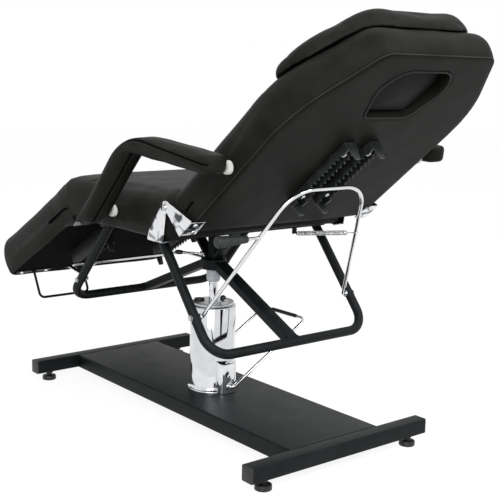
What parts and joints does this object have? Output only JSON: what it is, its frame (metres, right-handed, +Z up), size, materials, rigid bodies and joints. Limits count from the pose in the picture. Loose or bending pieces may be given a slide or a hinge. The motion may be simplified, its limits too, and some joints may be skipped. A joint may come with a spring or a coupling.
{
  "type": "massage table",
  "caption": "Black upholstered hydraulic massage table with a pump column, raised backrest with a face hole, lowered leg rest and jointed armrests.",
  "frame": {"origin": "on the floor under the middle of the table's box at rest", "axes": "+X towards the head end, +Z up, +Y to the right of a person lying face up"},
  "size_m": [1.5749, 0.79, 1.098],
  "materials": {
    "leather": "satin",
    "lining": "matte",
    "coat": "matte",
    "chrome": "polished",
    "steel": "satin",
    "plastic": "matte",
    "grip": "matte",
    "grey": "satin",
    "cream": "satin"
  },
  "bodies": {
    "base": {"base_plate": "coat", "base_bar_head": "coat", "base_bar_foot": "coat", "bar_cap_head_left": "plastic", "bar_cap_head_right": "plastic", "bar_cap_foot_left": "plastic", "bar_cap_foot_right": "plastic", "column_cover": "chrome", "cylinder_cap": "steel", "hydraulic_cylinder": "steel", "pump_housing_head": "chrome", "pump_housing_foot": "chrome"},
    "pedal": {"pump_pedal": "chrome"},
    "piston": {"piston_rod": "chrome", "piston_collar": "grey"},
    "seat": {"hub": "coat", "rear_loop": "coat", "front_loop": "coat", "rear_beam": "coat", "front_beam": "coat", "rear_rail": "coat", "front_rail": "coat", "seat_board": "lining", "seat_cushion": "leather", "hinge_seat_plate_left": "chrome", "hinge_seat_plate_right": "chrome", "leg_seat_plate_left": "coat", "leg_seat_plate_right": "coat", "arm_spacer_seat_left": "cream", "arm_spacer_seat_right": "cream"},
    "backrest": {"back_board": "lining", "back_cushion": "leather", "back_rack_left": "plastic", "back_rack_right": "plastic", "hinge_back_plate_left": "chrome", "hinge_back_plate_right": "chrome", "arm_spacer_back_left": "cream", "arm_spacer_back_right": "cream"},
    "leg_rest": {"leg_board": "lining", "leg_cushion": "leather", "pull_handle": "coat", "leg_rack_left": "plastic", "leg_rack_right": "plastic", "leg_hinge_plate_left": "coat", "leg_hinge_plate_right": "coat"},
    "bail": {"back_bail": "chrome", "bail_grip": "grip", "bail_spring": "steel"},
    "leg_catch": {"leg_bail": "chrome"},
    "plug": {"face_plug": "leather"},
    "pillow": {"head_pillow": "leather"},
    "post_left": {"armrest_post_left": "leather"},
    "pad_left": {"armrest_pad_left": "leather"},
    "post_right": {"armrest_post_right": "leather"},
    "pad_right": {"armrest_pad_right": "leather"},
    "foot_head_left": {"levelling_foot_head_left": "plastic"},
    "foot_head_right": {"levelling_foot_head_right": "plastic"},
    "foot_foot_left": {"levelling_foot_foot_left": "plastic"},
    "foot_foot_right": {"levelling_foot_foot_right": "plastic"}
  },
  "joints": [
    {"name": "column_lift", "type": "slide", "parent": "base", "child": "piston", "axis": [0, 0, 1], "range_m": [-0.03, 0.17]},
    {"name": "column_swivel", "type": "hinge", "parent": "piston", "child": "seat", "pos_m": [-0.02292, 0, 0.42], "axis": [0, 0, 1], "continuous": true},
    {"name": "pump_pedal", "type": "hinge", "parent": "base", "child": "pedal", "pos_m": [-0.02292, 0, 0.087], "axis": [1, 0, 0], "range_deg": [-22, 0], "stiffness_Nm_per_rad": 6, "springref_deg": 20.05},
    {"name": "backrest_recline", "type": "hinge", "parent": "seat", "child": "backrest", "pos_m": [0.19208, 0, 0.631], "axis": [0, -1, 0], "range_deg": [-38.8, 0]},
    {"name": "back_bail", "type": "hinge", "parent": "seat", "child": "bail", "pos_m": [0.25408, 0, 0.36095], "axis": [0, -1, 0], "range_deg": [-39, 0], "deforming": ["bail_spring"]},
    {"name": "leg_rest_tilt", "type": "hinge", "parent": "seat", "child": "leg_rest", "pos_m": [-0.29092, 0, 0.55], "axis": [0, 1, 0], "range_deg": [0, 28.5]},
    {"name": "leg_bail", "type": "hinge", "parent": "seat", "child": "leg_catch", "pos_m": [-0.31292, 0, 0.36233], "axis": [0, 1, 0], "range_deg": [0, 45]},
    {"name": "face_plug", "type": "slide", "parent": "backrest", "child": "plug", "axis": [0.6266, 0, -0.7793], "range_m": [0, 0.12]},
    {"name": "head_pillow", "type": "slide", "parent": "backrest", "child": "pillow", "axis": [-0.6266, 0, 0.7793], "range_m": [0, 0.1]},
    {"name": "arm_post_left", "type": "hinge", "parent": "seat", "child": "post_left", "pos_m": [-0.05292, -0.36, 0.596], "axis": [0, -1, 0], "range_deg": [-19.5, 0]},
    {"name": "arm_elbow_left", "type": "hinge", "parent": "post_left", "child": "pad_left", "pos_m": [0.13808, -0.36, 0.7635], "axis": [0, -1, 0], "range_deg": [-1.7, 0]},
    {"name": "arm_post_right", "type": "hinge", "parent": "seat", "child": "post_right", "pos_m": [-0.05292, 0.36, 0.596], "axis": [0, -1, 0], "range_deg": [-19.5, 0]},
    {"name": "arm_elbow_right", "type": "hinge", "parent": "post_right", "child": "pad_right", "pos_m": [0.13808, 0.36, 0.7635], "axis": [0, -1, 0], "range_deg": [-1.7, 0]},
    {"name": "foot_turn_head_left", "type": "hinge", "parent": "base", "child": "foot_head_left", "pos_m": [0.50708, -0.245, 0.02], "axis": [0, 0, 1], "continuous": true},
    {"name": "foot_turn_head_right", "type": "hinge", "parent": "base", "child": "foot_head_right", "pos_m": [0.50708, 0.245, 0.02], "axis": [0, 0, 1], "continuous": true},
    {"name": "foot_turn_foot_left", "type": "hinge", "parent": "base", "child": "foot_foot_left", "pos_m": [-0.55292, -0.245, 0.02], "axis": [0, 0, 1], "continuous": true},
    {"name": "foot_turn_foot_right", "type": "hinge", "parent": "base", "child": "foot_foot_right", "pos_m": [-0.55292, 0.245, 0.02], "axis": [0, 0, 1], "continuous": true}
  ],
  "couplings": [
    {"joint": "back_bail", "follows": "backrest_recline", "ratio": 1},
    {"joint": "leg_bail", "follows": "leg_rest_tilt", "ratio": 1.5495},
    {"joint": "arm_post_left", "follows": "backrest_recline", "ratio": 0.4999},
    {"joint": "arm_elbow_left", "follows": "backrest_recline", "ratio": 0.0428},
    {"joint": "arm_post_right", "follows": "backrest_recline", "ratio": 0.4999},
    {"joint": "arm_elbow_right", "follows": "backrest_recline", "ratio": 0.0428}
  ]
}
